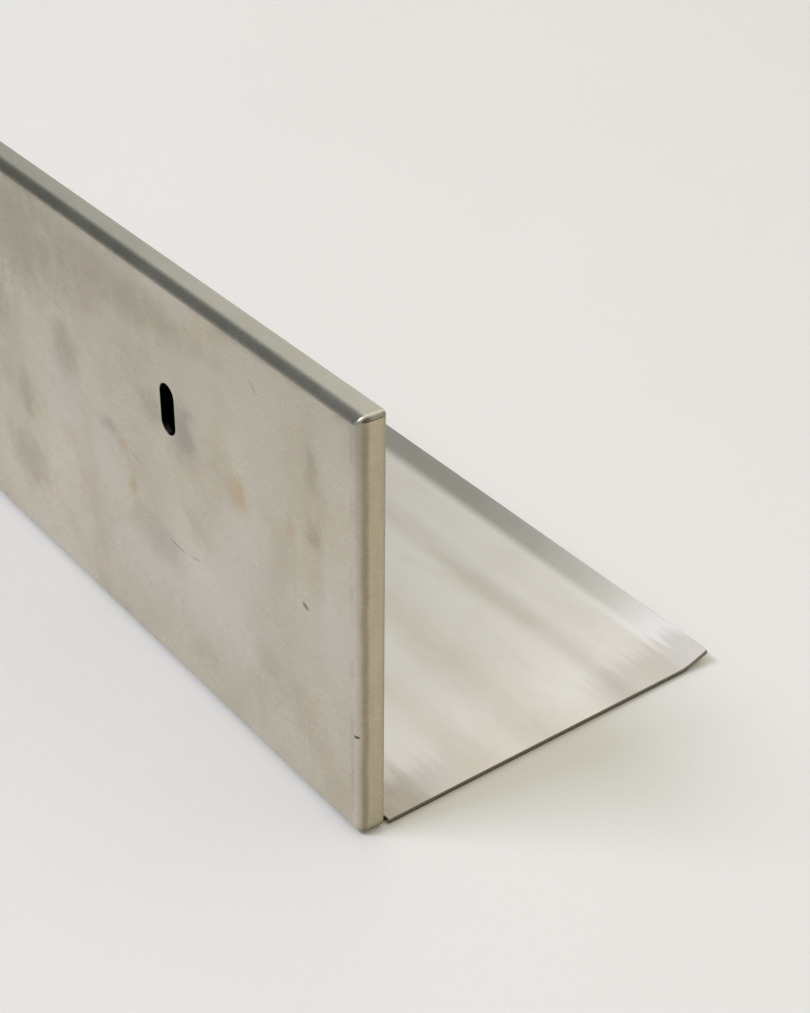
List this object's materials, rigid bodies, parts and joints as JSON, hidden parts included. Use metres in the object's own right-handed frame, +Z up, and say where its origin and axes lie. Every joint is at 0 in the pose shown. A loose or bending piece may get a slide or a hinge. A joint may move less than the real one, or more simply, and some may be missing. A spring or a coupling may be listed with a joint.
{
  "type": "folded steel wall shelf",
  "caption": "L-shaped folded stainless-steel wall shelf with a hollow slotted back panel and a thin shelf plate ending in a low upturned lip.",
  "frame": {"origin": "middle of the shelf's footprint, on the surface that the shelf plate lies on", "axes": "+X along the shelf's length, +Y from the wall-side face into the room, +Z up"},
  "size_m": [0.6, 0.148, 0.15],
  "materials": {
    "pan_steel": "brushed along the length, stained and lightly scratched on the wall side",
    "shelf_steel": "brushed along the length, cleaner and brighter",
    "weld_steel": "weld metal dressed flush",
    "ground_weld_steel": "weld metal ground round"
  },
  "bodies": {
    "root": {"wall_side_pan": "pan_steel", "front_and_shelf_sheet": "shelf_steel", "bottom_seam_weld": "weld_steel", "top_rim_weld": "weld_steel", "left_rim_weld": "weld_steel", "right_rim_weld": "weld_steel", "upper_left_corner_weld": "ground_weld_steel", "upper_right_corner_weld": "ground_weld_steel", "lower_left_corner_weld": "ground_weld_steel", "lower_right_corner_weld": "ground_weld_steel"}
  },
  "joints": []
}
